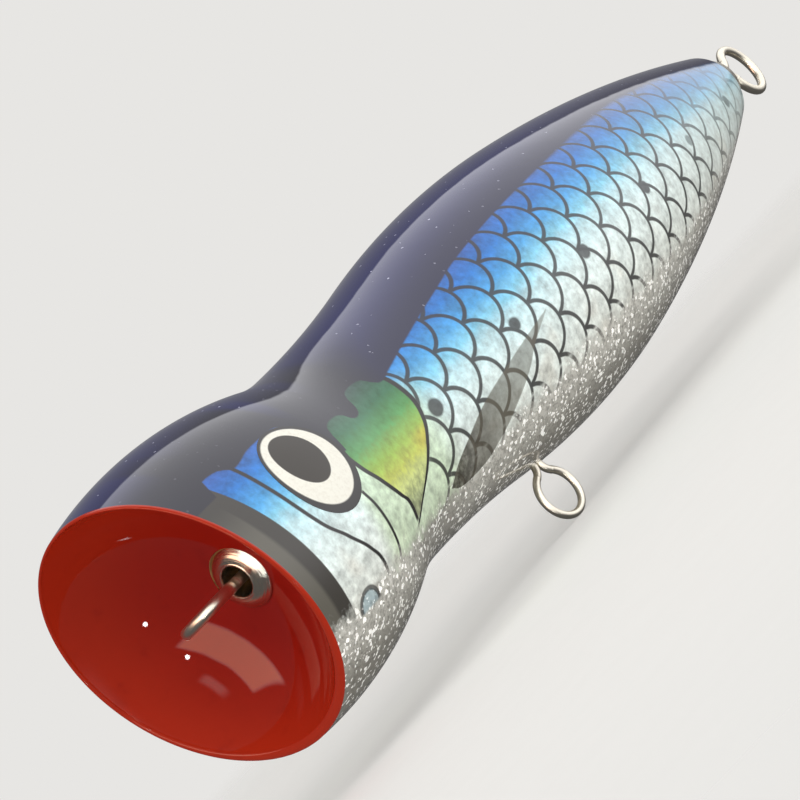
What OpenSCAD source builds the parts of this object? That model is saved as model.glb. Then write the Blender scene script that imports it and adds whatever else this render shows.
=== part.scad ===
// Topwater popper: a turned wooden fishing lure with a cupped mouth, built in two glued halves
// round a through-wire. The fish faces -Y, its back is +Z and its left side is +X.
// The origin is the centre of the line-tie loop, on the axis the body was turned about. Sizes in mm.
// Stations along the body are counted back from the centre of the mouth rim.

/* [Body] */
// Length from the centre of the mouth rim to the cut tail end
body_len = 154.5; // [152:0.5:157]
// Radius at the crest of the head, the widest ring behind the mouth
head_r = 20.4; // [20:0.1:20.8]
// Distance of the head crest behind the rim centre
head_y = 9.3; // [8.5:0.1:10]
// Radius of the arc over the head crest
head_arc_r = 61.5; // [50:0.5:70]
// Radius at the waist behind the gills
waist_r = 15.9; // [15.4:0.1:16.4]
// Distance of the waist behind the rim centre
waist_y = 37; // [35:0.5:39]
// Radius at the crest of the belly
belly_r = 19.3; // [18.8:0.1:19.8]
// Distance of the belly crest behind the rim centre
belly_y = 83.4; // [80:0.2:86]
// Radius of the arc over the belly crest
belly_arc_r = 148; // [140:1:156]
// Where the flatter tail arc takes over
tail_y = 99; // [96:0.5:102]
// Radius of the tail arc
tail_arc_r = 277; // [265:1:290]

/* [Mouth] */
// Lean of the rim: the upper lip is ahead of the lower lip
mouth_lean = 8.9; // [6:0.1:11]
// Radius of the cup's edge
cup_r = 19.2; // [18.8:0.1:19.4]
// Depth of the cup below its edge
cup_depth = 12.9; // [12:0.1:14]

/* [Through-wire] */
// Diameter of the stainless wire
wire_d = 1.5; // [1.4:0.05:1.6]
// Gap between a loop's two legs
leg_gap = 0.1; // [0.05:0.05:0.2]
// Centre-line radius of the line-tie loop
nose_loop_r = 3.8; // [3.4:0.1:4]
// Centre of the line-tie loop behind the rim centre
nose_loop_y = 5; // [4.6:0.1:5.4]
// Centre-line radius of the tail loop
tail_loop_r = 4.4; // [4:0.1:4.6]
// Centre of the tail loop behind the tail end
tail_loop_y = 16.8; // [16.2:0.1:17.4]
// How far the tail loop hangs below the axis
tail_loop_drop = 1.2; // [1:0.1:1.4]
// Turn of the tail loop towards the right side
tail_loop_turn = 12; // [0:1:14]
// How far a loop's legs run side by side inside the wood
tag_len = 12; // [8:1:16]

/* [Ferrules] */
// Outer diameter of the cone round the line tie
nose_cone_d = 8.8; // [8:0.1:9.4]
// Bore of the cone round the line tie
nose_bore_d = 4.4; // [4.2:0.1:4.8]
// How far the nose cone stands out of the cup
nose_cone_h = 1.6; // [1.2:0.1:2]
// Length of each ferrule's tube inside the wood
shank_len = 5; // [4:0.5:6]
// Radius of the tail cone where it starts to round off
tail_cone_r = 4.6; // [4.2:0.1:5]
// Length of the cone on the tail end
tail_cone_len = 5.2; // [4.6:0.1:5.6]

/* [Belly hanger] */
// Diameter of the hanger wire
hanger_wire_d = 1.1; // [1:0.05:1.2]
// Centre-line radius of the hanger's loop
hanger_loop_r = 3.6; // [3.2:0.1:4]
// Centre of the hanger's loop below the through-wire
hanger_drop = 23.3; // [23:0.1:24]
// Where the hanger rides on the through-wire
hanger_y = 67.2; // [65:0.2:69]
// Forward lean of the hanger
hanger_lean = 10; // [6:1:12]

/* [Ballast] */
// Diameter of the lead slug
ballast_d = 11; // [9:0.5:12]
// Length of the lead slug
ballast_len = 11; // [9:0.5:11.5]
// Where the slug sits behind the rim centre
ballast_y = 84; // [80:1:90]

/* [Skin] */
// Thickness of the printed foil
foil_t = 0.3; // [0.2:0.05:0.4]
// Upper edge of the foil above the side line, in degrees round the body
foil_top = 27; // [24:1:30]
// Lower edge of the foil below the side line, in degrees round the body
foil_low = 52; // [45:1:56]
// Bare band between the rim and the foil
lip_band = 4.4; // [3.5:0.1:5]
// Where the foil stops short of the tail end
foil_back = 1; // [0.5:0.5:3]

/* [Eyes] */
// Diameter of an eye
eye_d = 13.4; // [12:0.1:14]
// Depth of an eye's pocket below the head crest
eye_t = 1.8; // [1.6:0.1:2.2]
// How far an eye stands proud of the skin
eye_proud = 0.25; // [0.15:0.05:0.4]
// Distance of the eye's centre behind the rim centre
eye_y = 15; // [14.4:0.2:15.6]
// Height of the eye round the body, in degrees above the side line
eye_up = 9; // [7:1:11]

/* [Hidden] */

$fn = 96;
arc_fn = 256;
wire_fn = 24;

// Gap left for glue, and a half space's size
glue = 0.05;
big = 60;

// Sums of the radii of the two arcs that meet between a crest and the waist
head_sum = (pow(waist_y - head_y, 2) + pow(head_r - waist_r, 2)) / (2 * (head_r - waist_r));
belly_sum = (pow(belly_y - waist_y, 2) + pow(belly_r - waist_r, 2)) / (2 * (belly_r - waist_r));
tail_slope = asin((tail_y - belly_y) / belly_arc_r);

// Radius of the tail end
tail_arc_y = tail_y - tail_arc_r * sin(tail_slope);
tail_arc_x = belly_r - belly_arc_r + (belly_arc_r - tail_arc_r) * cos(tail_slope);
tail_r = tail_arc_x + sqrt(pow(tail_arc_r, 2) - pow(body_len - tail_arc_y, 2));

// Sphere that cuts the mouth cup, and where the cup meets the axis
cup_ball_r = (cup_depth * cup_depth + cup_r * cup_r) / (2 * cup_depth);
cup_ball_out = cup_ball_r - cup_depth;
cup_y = sqrt(pow(cup_ball_r, 2) - pow(cup_ball_out * sin(mouth_lean), 2)) - cup_ball_out * cos(mouth_lean);

// Half the distance between a loop's two legs
leg = (wire_d + leg_gap) / 2;
hanger_leg = (hanger_wire_d + leg_gap) / 2;

// Distance from the neck, where a loop's legs part, to the loop's centre
nose_reach = 5.6;
tail_reach = 5.4;
hanger_reach = 5;
neck_y = nose_loop_y + nose_reach;

// Side step that carries the wire from the axis to one leg
step_r = 6;
step_angle = acos(1 - leg / (2 * step_r));
step_len = 2 * step_r * sin(step_angle);

// Bores and tubes
wire_bore_r = wire_d / 2 + glue;
leg_bore_r = leg + wire_d / 2 + glue;
tail_tube_r = leg_bore_r + 0.9;
nose_tube_r = nose_bore_d / 2 + 0.7;
ring_r = wire_d / 2 + hanger_wire_d / 2 + 0.2;
ballast_top = 3.5;

wood = [0.83, 0.7, 0.5];
steel = [0.78, 0.78, 0.76];
lead = [0.42, 0.43, 0.46];
foil = [0.35, 0.65, 0.9];
cream = [0.93, 0.89, 0.78];

// ---- Outline of the turned body: x is the radius, y the distance along the axis ----

module band(y0, y1) {
    translate([0, y0]) square([big / 2, y1 - y0]);
}

module crest_arc(y, r, arc_r, y0, y1) {
    intersection() {
        band(y0, y1);
        translate([r - arc_r, y]) circle(arc_r, $fn = arc_fn);
    }
}

module waist_arc(y, r, arc_r, y0, y1) {
    difference() {
        band(y0, y1);
        translate([r + arc_r, y]) circle(arc_r, $fn = arc_fn);
    }
}

// Half outline of the body, drawn in by a distance: arcs that touch at the crests, waist and joins
module outline(inset = 0, from = -6, to = body_len) {
    head_a = head_arc_r - inset;
    belly_a = belly_arc_r - inset;
    tail_a = tail_arc_r - inset;
    join_1 = head_y + head_a / head_sum * (waist_y - head_y);
    join_2 = belly_y - belly_a / belly_sum * (belly_y - waist_y);
    join_3 = belly_y + belly_a * sin(tail_slope);
    crest_arc(head_y, head_r - inset, head_a, from, join_1);
    waist_arc(waist_y, waist_r - inset, head_sum - head_a, join_1, waist_y);
    waist_arc(waist_y, waist_r - inset, belly_sum - belly_a, waist_y, join_2);
    crest_arc(belly_y, belly_r - inset, belly_a, join_2, join_3);
    crest_arc(tail_arc_y, tail_arc_x + tail_a, tail_a, join_3, to);
}

// Turns a half outline about the body's axis, from an angle above the left side downwards
module turned(start = 0, span = 360) {
    rotate([-90, 0, 0])
        rotate([0, 0, -start])
            rotate_extrude(angle = span)
                children();
}

// Everything ahead of a plane that lies some distance behind the rim and leans with it
module ahead_of_rim(back = 0) {
    rotate([mouth_lean, 0, 0])
        translate([-big / 2, back - big, -big / 2])
            cube(big);
}

// Moves a piece from the rim centre's frame to the line-tie loop's
module placed() {
    translate([0, -nose_loop_y, 0]) children();
}

module bar_y(r, y0, y1) {
    translate([0, y0, 0]) rotate([-90, 0, 0]) cylinder(r = r, h = y1 - y0);
}

module cone_along_y(r0, r1, y0, y1) {
    translate([0, y0, 0]) rotate([-90, 0, 0]) cylinder(r1 = r0, r2 = r1, h = y1 - y0);
}

module on_side(side) {
    if (side > 0)
        children();
    else
        mirror([1, 0, 0]) children();
}

// ---- Wire: each piece starts at the origin heading +Y and carries its children to its end ----

// A ball a hair wider than the wire, which closes the joint between two pieces
module joint_ball(d) {
    sphere(d = d + 0.06, $fn = wire_fn);
}

module straight(d, len) {
    rotate([-90, 0, 0]) cylinder(d = d, h = len, $fn = wire_fn);
    translate([0, len, 0]) {
        if ($children > 0) joint_ball(d);
        children();
    }
}

// A bend towards +X for a positive angle and towards -X for a negative one
module bend(d, r, angle) {
    side = sign(angle);
    turn = abs(angle);
    translate([side * r, 0, 0])
        rotate([0, 0, side > 0 ? 180 - turn : 0])
            rotate_extrude(angle = turn)
                translate([r, 0]) circle(d = d, $fn = wire_fn);
    translate([side * r * (1 - cos(turn)), r * sin(turn), 0])
        rotate([0, 0, -angle]) {
            if ($children > 0) joint_ball(d);
            children();
        }
}

module roll(angle) {
    rotate([0, angle, 0]) children();
}

// Two opposite bends that step sideways by half the distance between the legs
module side_step(d, side) {
    bend(d, step_r, side * step_angle)
        bend(d, step_r, -side * step_angle)
            children();
}

// Radius and angle of the flare from a leg into a loop, from the loop's centre line radius, the
// distance from neck to centre, and the centre's distance inside the leg
function flare_r(r, reach, inside) = (pow(inside, 2) + pow(reach, 2) - r * r) / (2 * (r - inside));
function flare_angle(r, reach, inside) = atan2(reach, inside + flare_r(r, reach, inside));

// A loop that leaves on the leg at +X, returns on the leg at -X, and is centred at x = shift
module eye_loop(d, r, reach, leg_x, shift = 0) {
    out_in = leg_x - shift;
    back_in = leg_x + shift;
    out_angle = flare_angle(r, reach, out_in);
    back_angle = flare_angle(r, reach, back_in);
    translate([leg_x, 0, 0]) {
        joint_ball(d);
        bend(d, flare_r(r, reach, out_in), out_angle)
            bend(d, r, -(180 + out_angle + back_angle))
                bend(d, flare_r(r, reach, back_in), back_angle)
                    children();
    }
}

// ---- Cuts in the wood ----

module cup_cut() {
    rotate([mouth_lean, 0, 0])
        translate([0, -cup_ball_out, 0])
            sphere(cup_ball_r, $fn = 144);
}

module wire_cuts() {
    bar_y(wire_bore_r, cup_y, body_len + 1);
    bar_y(leg_bore_r, cup_y, neck_y + tag_len + step_len + 1);
    bar_y(leg_bore_r, body_len - tag_len - step_len - 1, body_len + 1);
    bar_y(nose_tube_r + glue, 6, cup_y + shank_len + glue);
    bar_y(nose_cone_d / 2 + glue, 6, cup_y + 0.3 + glue);
    bar_y(tail_tube_r + glue, body_len - shank_len - glue, body_len + 1);
}

// Carries its children to the hanger's ring, heading down and leaning forward, with x towards the tail
module at_hanger() {
    translate([0, hanger_y, 0])
        rotate([-hanger_lean, 0, 0])
            rotate([0, 0, 90])
                rotate([-90, 0, 0])
                    children();
}

module hanger_cuts() {
    slot_r = hanger_wire_d / 2 + glue;
    bar_y(ring_r + hanger_wire_d / 2 + glue, hanger_y - 1.8, hanger_y + 1.8);
    at_hanger() {
        for (x = [-hanger_leg, hanger_leg])
            translate([x, 0, 0]) bar_y(slot_r, 1, big / 2);
        translate([-hanger_leg, 1, -slot_r]) cube([2 * hanger_leg, big / 2 - 1, 2 * slot_r]);
    }
}

module ballast_cut() {
    translate([0, ballast_y, -big / 2]) cylinder(d = ballast_d + 2 * glue, h = big / 2 - ballast_top + glue);
}

module foil_cut(side) {
    on_side(side)
        difference() {
            turned(foil_top + 0.2, foil_top + foil_low + 0.4)
                difference() {
                    band(-6, body_len - foil_back + glue);
                    outline(foil_t + glue);
                }
            ahead_of_rim(lip_band - glue);
        }
}

// A cylinder through the eye, from its pocket's floor outwards
module eye_bar(side, gap = 0) {
    on_side(side)
        translate([0, eye_y, 0])
            rotate([0, 90 - eye_up, 0])
                translate([0, 0, head_r - eye_t - gap])
                    cylinder(d = eye_d + 2 * gap, h = 10);
}

module wood_half(side) {
    color(wood)
        difference() {
            turned(side > 0 ? 90 : 270, 180) outline();
            ahead_of_rim();
            cup_cut();
            wire_cuts();
            hanger_cuts();
            ballast_cut();
            foil_cut(side);
            eye_bar(side, glue);
        }
}

// ---- Pieces ----

module body_left_half() {
    placed() wood_half(1);
}

module body_right_half() {
    placed() wood_half(-1);
}

// One wire: cut end, line-tie loop, run through the body, tail loop, cut end
module through_wire() {
    run = body_len - 2 * tag_len - neck_y - 2 * step_len;
    tail_leg = tag_len + tail_cone_len;
    bend_r = 3;
    tail_neck = tail_loop_y - tail_cone_len - bend_r * sin(tail_loop_turn) - tail_reach;
    color(steel) placed() {
        translate([-leg, neck_y, 0]) straight(wire_d, tag_len);
        translate([0, neck_y, 0])
            rotate([0, 0, 180])
                eye_loop(wire_d, nose_loop_r, nose_reach, leg)
                    straight(wire_d, tag_len)
                        side_step(wire_d, -1)
                            straight(wire_d, run)
                                roll(90)
                                    side_step(wire_d, 1)
                                        straight(wire_d, tail_leg)
                                            roll(-90)
                                                bend(wire_d, bend_r, -tail_loop_turn)
                                                    roll(90)
                                                        tail_eye(tail_neck, bend_r, tail_leg);
    }
}

// The tail loop and the leg that comes back from it
module tail_eye(neck, bend_r, back_len) {
    straight(wire_d, neck)
        translate([-leg, 0, 0])
            eye_loop(wire_d, tail_loop_r, tail_reach, leg, tail_loop_drop)
                straight(wire_d, neck)
                    roll(90)
                        bend(wire_d, bend_r, tail_loop_turn)
                            straight(wire_d, back_len);
}

// Machined cone at the bottom of the cup, with a tube into the wood
module nose_ferrule() {
    face_y = cup_y - nose_cone_h;
    edge_y = cup_y - 0.7;
    color(steel) placed()
        difference() {
            union() {
                cone_along_y(nose_bore_d / 2 + 0.5, nose_cone_d / 2, face_y, edge_y);
                bar_y(nose_cone_d / 2, edge_y, cup_y + 0.3);
                bar_y(nose_tube_r, edge_y, cup_y + shank_len);
            }
            bar_y(nose_bore_d / 2, face_y - 1, cup_y + shank_len + 1);
        }
}

module tail_ferrule() {
    round_y = body_len + tail_cone_len - 1;
    color(steel) placed()
        difference() {
            union() {
                cone_along_y(tail_r - 0.3, tail_cone_r, body_len, round_y);
                cone_along_y(tail_cone_r, leg_bore_r + 0.8, round_y, body_len + tail_cone_len);
                bar_y(tail_tube_r, body_len - shank_len, body_len + 1);
            }
            bar_y(leg_bore_r, body_len - shank_len - 1, body_len + tail_cone_len + 1);
        }
}

// A ring threaded on the through-wire and a loop below the belly, joined by two legs
module belly_hanger() {
    neck = hanger_drop - hanger_reach;
    color(steel) placed() {
        translate([0, hanger_y, 0])
            rotate([90, 0, 0])
                rotate_extrude() translate([ring_r, 0]) circle(d = hanger_wire_d, $fn = wire_fn);
        at_hanger() {
            translate([hanger_leg, ring_r, 0]) straight(hanger_wire_d, neck - ring_r);
            translate([0, neck, 0])
                eye_loop(hanger_wire_d, hanger_loop_r, hanger_reach, hanger_leg)
                    straight(hanger_wire_d, neck - ring_r);
        }
    }
}

module ballast_weight() {
    color(lead) placed()
        translate([0, ballast_y, -ballast_top - ballast_len])
            cylinder(d = ballast_d, h = ballast_len);
}

// Wooden plug over the lead, shaped to the belly
module ballast_plug() {
    color(wood) placed()
        intersection() {
            translate([0, ballast_y, -big / 2])
                cylinder(d = ballast_d, h = big / 2 - ballast_top - ballast_len - glue);
            turned() crest_arc(belly_y, belly_r, belly_arc_r, ballast_y - ballast_d, ballast_y + ballast_d);
        }
}

// Printed foil wrapped on one side, trimmed parallel to the rim
module foil_sheet(side) {
    color(foil)
        difference() {
            on_side(side)
                turned(foil_top, foil_top + foil_low)
                    difference() {
                        outline(0, -6, body_len - foil_back);
                        outline(foil_t);
                    }
            ahead_of_rim(lip_band);
            eye_bar(side, glue);
        }
}

module foil_left() {
    placed() foil_sheet(1);
}

module foil_right() {
    placed() foil_sheet(-1);
}

// A flat-backed eye whose face follows the head, a little proud of it
module eye(side) {
    color(cream)
        intersection() {
            eye_bar(side);
            turned()
                crest_arc(head_y, head_r + eye_proud, head_arc_r + eye_proud, eye_y - eye_d, eye_y + eye_d);
        }
}

module eye_left() {
    placed() eye(1);
}

module eye_right() {
    placed() eye(-1);
}

body_left_half();
body_right_half();
through_wire();
nose_ferrule();
tail_ferrule();
belly_hanger();
ballast_weight();
ballast_plug();
foil_left();
foil_right();
eye_left();
eye_right();
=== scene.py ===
"""Looks of a topwater popper: a painted, foiled and clear-coated wooden lure round its CAD frame."""

import math

import bpy
import numpy as np
from mathutils import Matrix, Vector


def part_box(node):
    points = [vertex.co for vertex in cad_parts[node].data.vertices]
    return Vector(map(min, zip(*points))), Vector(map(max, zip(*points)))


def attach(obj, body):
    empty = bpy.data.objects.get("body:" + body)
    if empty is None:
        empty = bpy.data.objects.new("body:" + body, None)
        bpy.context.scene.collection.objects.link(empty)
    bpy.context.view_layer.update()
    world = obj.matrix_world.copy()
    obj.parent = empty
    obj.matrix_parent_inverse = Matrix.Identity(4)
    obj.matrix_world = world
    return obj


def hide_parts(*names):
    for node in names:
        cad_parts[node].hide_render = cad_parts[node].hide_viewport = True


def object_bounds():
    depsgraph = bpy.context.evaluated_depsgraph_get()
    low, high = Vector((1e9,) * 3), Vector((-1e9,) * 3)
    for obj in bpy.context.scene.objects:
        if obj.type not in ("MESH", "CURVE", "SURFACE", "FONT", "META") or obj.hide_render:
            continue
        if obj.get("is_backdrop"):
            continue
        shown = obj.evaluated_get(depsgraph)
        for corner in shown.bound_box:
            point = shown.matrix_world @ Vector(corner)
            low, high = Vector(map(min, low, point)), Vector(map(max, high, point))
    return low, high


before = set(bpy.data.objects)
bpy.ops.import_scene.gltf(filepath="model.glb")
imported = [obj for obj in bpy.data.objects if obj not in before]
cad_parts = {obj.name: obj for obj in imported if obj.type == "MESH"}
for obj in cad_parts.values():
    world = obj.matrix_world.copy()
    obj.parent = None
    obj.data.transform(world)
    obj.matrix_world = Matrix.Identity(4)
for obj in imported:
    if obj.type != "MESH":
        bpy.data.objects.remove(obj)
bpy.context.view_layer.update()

MM = 0.001

# ---- Sizes in mm, with distances along the body counted back from the centre of the mouth rim ----

# The turned body: its length, and the crest of the head, the waist, the crest of the belly and the start of
# the tail, with the body's radius there and the radius of the arc along the body
BODY_LEN = 154.5
HEAD_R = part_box("body_left_half")[1].z / MM
HEAD_Y = 9.3
HEAD_ARC = 61.5
WAIST_R = 15.9
WAIST_Y = 37
BELLY_R = 19.3
BELLY_Y = 83.4
BELLY_ARC = 148
TAIL_Y = 99
TAIL_ARC = 277

# The mouth: how far its rim leans, radius and depth of the cup, and width of the bare band behind the lip
LEAN = math.radians(8.9)
CUP_R = 19.2
CUP_DEPTH = 12.9
LIP_BAND = 4.4

# The foils: where they end, and their edges in degrees above the side line
FOIL_END = 153.5
FOIL_TOP = 27
FOIL_LOW = -52

# Place of the rim's centre in the row's frame
RIM_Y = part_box("body_left_half")[1].y / MM - BODY_LEN

# How far the clear coat stands above the wood, and the offsets along the body over which it evens out the
# slope. Then the thickness of the paint and of the coated foil, and how far the paint rolls over the lip
COAT = 0.12
COAT_EVENS = (-6, -4, -2, 0, 2, 4, 6)
PAINT_FILM = 0.1
FOIL_THICK = 0.42
LIP_ROLL = 0.42

# Outline, white and pupil of the eye: centre along and round the body, and half sizes the same way
EYE = (15.25, 2.9, 6.1, 7.1)
WHITE = (15.06, 3.33, 5.4, 6.25)
PUPIL = (14.8, 4.56, 3.45, 4.15)
EYE_DOME = 0.22

# Nose cone: bore, length of its flange, wall of its tube, roundings at its bore and outer edge, and how
# far its face rises between them, swells and is grooved
NOSE_BORE = 2.2
NOSE_FLANGE = 1.9
NOSE_WALL = 0.7
NOSE_LIP = 0.2
NOSE_EDGE = 0.15
NOSE_RISE = 0.85
NOSE_SWELL = 0.18
NOSE_GROOVE = 0.004


# ---- Outline of the body ----

head_sum = ((WAIST_Y - HEAD_Y) ** 2 + (HEAD_R - WAIST_R) ** 2) / (2 * (HEAD_R - WAIST_R))
belly_sum = ((BELLY_Y - WAIST_Y) ** 2 + (BELLY_R - WAIST_R) ** 2) / (2 * (BELLY_R - WAIST_R))
tail_sin = (TAIL_Y - BELLY_Y) / BELLY_ARC
tail_mid_y = TAIL_Y - TAIL_ARC * tail_sin
tail_mid_r = BELLY_R - BELLY_ARC + (BELLY_ARC - TAIL_ARC) * math.sqrt(1 - tail_sin**2)
join_head = HEAD_Y + HEAD_ARC / head_sum * (WAIST_Y - HEAD_Y)
join_belly = BELLY_Y - BELLY_ARC / belly_sum * (BELLY_Y - WAIST_Y)

# Each stretch: where it ends, its arc's middle and radius, and 1 for a crest or -1 for a waist
STRETCHES = [
    (join_head, HEAD_Y, HEAD_R - HEAD_ARC, HEAD_ARC, 1),
    (WAIST_Y, WAIST_Y, WAIST_R + head_sum - HEAD_ARC, head_sum - HEAD_ARC, -1),
    (join_belly, WAIST_Y, WAIST_R + belly_sum - BELLY_ARC, belly_sum - BELLY_ARC, -1),
    (TAIL_Y, BELLY_Y, BELLY_R - BELLY_ARC, BELLY_ARC, 1),
    (math.inf, tail_mid_y, tail_mid_r, TAIL_ARC, 1),
]


def outline(y):
    """Radius of the turned body and its slope at distances y behind the rim centre."""
    y = np.asarray(y, float)
    radius = np.zeros_like(y)
    slope = np.zeros_like(y)
    start = -math.inf
    for end, mid_y, mid_r, bend, sign in STRETCHES:
        here = (y >= start) & (y < end)
        rise = np.sqrt(np.maximum(bend**2 - (y - mid_y) ** 2, 1e-9))
        radius = np.where(here, mid_r + sign * rise, radius)
        slope = np.where(here, -sign * (y - mid_y) / rise, slope)
        start = end
    return radius, slope


def skin(y, phi, lift=COAT):
    """Points on the skin, lifted off the wood, and the skin's normals, which the coat has evened out along
    the body. phi runs from the left side to the back."""
    radius = outline(y)[0]
    slope = sum(outline(y + step)[1] for step in COAT_EVENS) / len(COAT_EVENS)
    normal = np.stack([np.cos(phi), -slope, np.sin(phi)], -1)
    normal /= np.linalg.norm(normal, axis=-1, keepdims=True)
    wood = np.stack([radius * np.cos(phi), y + 0 * phi, radius * np.sin(phi)], -1)
    return wood + lift * normal, normal


def rim_y(phi):
    """How far the leaning rim is behind its centre, at each angle round the body."""
    y = np.zeros_like(phi)
    for _ in range(8):
        y = -outline(y)[0] * np.sin(phi) * math.tan(LEAN)
    return y


def behind_rim(d, phi):
    """Place along the axis of a line round the body that follows the rim at d = 0 and is square to the axis
    from the waist on."""
    return d + rim_y(phi) * np.clip(1 - d / WAIST_Y, 0, 1) ** 2


# ---- Mesh helpers ----

# Sides of a turned piece
TURN_SIDES = 96


def make_object(name, points, faces, material, normals=None, flat=()):
    """A mesh object from points in mm counted from the rim centre. Its faces are smooth, with a normal for
    each point if normals are given, and faces in flat keep their own."""
    points = (np.asarray(points, float) + [0, RIM_Y, 0]) * MM
    mesh = bpy.data.meshes.new(name)
    mesh.from_pydata(points.tolist(), [], faces)
    mesh.polygons.foreach_set("use_smooth", [True] * len(mesh.polygons))
    if normals is not None:
        flat = set(flat)
        loops = []
        for poly in mesh.polygons:
            if poly.index in flat:
                loops += [poly.normal[:]] * poly.loop_total
            else:
                loops += [normals[v] for v in poly.vertices]
        mesh.normals_split_custom_set(loops)
    mesh.update()
    obj = bpy.data.objects.new(name, mesh)
    bpy.context.scene.collection.objects.link(obj)
    mesh.materials.append(material)
    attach(obj, "root")
    return obj


def closed_sheet(name, top, bottom, normal, cells, material):
    """A thin closed piece: the chosen cells of a grid of points, the same cells on the lower grid, and a
    wall round every open edge. The grid's last column may repeat its first."""
    rows, cols = top.shape[:2]
    ids = np.arange(rows * cols).reshape(rows, cols)
    if np.allclose(top[:, 0], top[:, -1]):
        ids[:, -1] = ids[:, 0]
    quads = np.stack([ids[:-1, :-1], ids[1:, :-1], ids[1:, 1:], ids[:-1, 1:]], -1)[cells]
    used, quads = np.unique(quads, return_inverse=True)
    quads = quads.reshape(-1, 4)
    high, low, way = [grid.reshape(-1, 3)[used] for grid in (top, bottom, normal)]
    facing = np.cross(high[quads[:, 2]] - high[quads[:, 0]], high[quads[:, 3]] - high[quads[:, 1]])
    if np.sum(facing * way[quads[:, 0]]) < 0:
        quads = quads[:, ::-1]
    count = len(used)
    quads = quads.tolist()
    edges = {(a, b) for quad in quads for a, b in zip(quad, quad[1:] + quad[:1])}
    walls = [[b, a, a + count, b + count] for a, b in sorted(edges) if (b, a) not in edges]
    under = [[corner + count for corner in reversed(quad)] for quad in quads]
    flat = range(2 * len(quads), 2 * len(quads) + len(walls))
    points = np.concatenate([high, low])
    return make_object(name, points, quads + under + walls, material, np.concatenate([way, -way]), flat)


def steps(*stops):
    """Evenly spaced values through (value, number of cells to the next value) stops."""
    parts = [np.linspace(a[0], b[0], a[1], endpoint=False) for a, b in zip(stops, stops[1:])]
    return np.concatenate(parts + [[stops[-1][0]]])


def arc(centre, radius, start, stop, count):
    """Points of an arc as (distance, radius) pairs, with angles in degrees from the axis."""
    angles = np.radians(np.linspace(start, stop, count))
    return [(centre[0] + radius * math.cos(a), centre[1] + radius * math.sin(a)) for a in angles]


def lathe(name, profile, material):
    """A closed ring turned about the body's axis from a closed profile of (distance, radius) points."""
    profile = np.asarray(profile, float)
    turn = np.linspace(0, 2 * math.pi, TURN_SIDES, endpoint=False)
    y, r = profile[:, 0][:, None], profile[:, 1][:, None]
    points = np.stack([r * np.cos(turn), y + 0 * turn, r * np.sin(turn)], -1)
    count = len(profile)
    faces = []
    for i in range(count):
        row, after = i * TURN_SIDES, (i + 1) % count * TURN_SIDES
        for j in range(TURN_SIDES):
            k = (j + 1) % TURN_SIDES
            faces.append([row + j, after + j, after + k, row + k])
    return make_object(name, points.reshape(-1, 3), faces, material)


# ---- Shader helpers ----


def srgb(r, g, b):
    """A linear colour from 0 to 255 display values."""

    def linear(c):
        c /= 255
        return c / 12.92 if c <= 0.04045 else ((c + 0.055) / 1.055) ** 2.4

    return (linear(r), linear(g), linear(b), 1)


class Num:
    """A number worked out in a node tree, so that a pattern reads as a formula."""

    def __init__(self, tree, socket):
        self.tree = tree
        self.socket = socket

    def math(self, operation, *others):
        node = self.tree.nodes.new("ShaderNodeMath")
        node.operation = operation
        for slot, value in zip(node.inputs, (self,) + others):
            plug(self.tree, slot, value)
        return Num(self.tree, node.outputs[0])

    def __add__(self, other):
        return self.math("ADD", other)

    def __sub__(self, other):
        return self.math("SUBTRACT", other)

    def __mul__(self, other):
        return self.math("MULTIPLY", other)

    def __truediv__(self, other):
        return self.math("DIVIDE", other)

    def __rsub__(self, other):
        return self * -1 + other

    def step(self, low, high):
        """Smoothly 0 below low and 1 above high. When low is above high, it runs the other way."""
        node = self.tree.nodes.new("ShaderNodeMapRange")
        node.interpolation_type = "SMOOTHSTEP"
        plug(self.tree, node.inputs["Value"], self)
        turned = not isinstance(low, Num) and not isinstance(high, Num) and low > high
        ends = (high, low, 1, 0) if turned else (low, high, 0, 1)
        for name, value in zip(("From Min", "From Max", "To Min", "To Max"), ends):
            plug(self.tree, node.inputs[name], value)
        return Num(self.tree, node.outputs["Result"])

    def curve(self, points):
        """A smooth curve through (from, to) points, given with from rising."""
        lo, hi = points[0][0], points[-1][0]
        bottom = min(p[1] for p in points)
        top = max(p[1] for p in points)
        node = self.tree.nodes.new("ShaderNodeFloatCurve")
        plug(self.tree, node.inputs["Value"], (self - lo) / (hi - lo))
        line = node.mapping.curves[0]
        while len(line.points) < len(points):
            line.points.new(0.5, 0.5)
        for place, (a, b) in zip(line.points, points):
            place.location = ((a - lo) / (hi - lo), (b - bottom) / (top - bottom))
            place.handle_type = "AUTO_CLAMPED"
        node.mapping.update()
        return Num(self.tree, node.outputs[0]) * (top - bottom) + bottom


def plug(tree, slot, value):
    """Feeds a slot with a Num, another node's output or a plain value."""
    if isinstance(value, Num):
        tree.links.new(value.socket, slot)
    elif isinstance(value, bpy.types.NodeSocket):
        tree.links.new(value, slot)
    else:
        slot.default_value = value


def smallest(a, b):
    return a.math("MINIMUM", b)


def largest(a, b):
    return a.math("MAXIMUM", b)


def length(a, b):
    return (a * a + b * b).math("SQRT")


def mix(tree, a, b, amount, blend="MIX"):
    """Colour a turning into b."""
    node = tree.nodes.new("ShaderNodeMix")
    node.data_type = "RGBA"
    node.blend_type = blend
    node.clamp_factor = True
    plug(tree, node.inputs[0], amount)
    plug(tree, node.inputs[6], a)
    plug(tree, node.inputs[7], b)
    return node.outputs[2]


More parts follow.
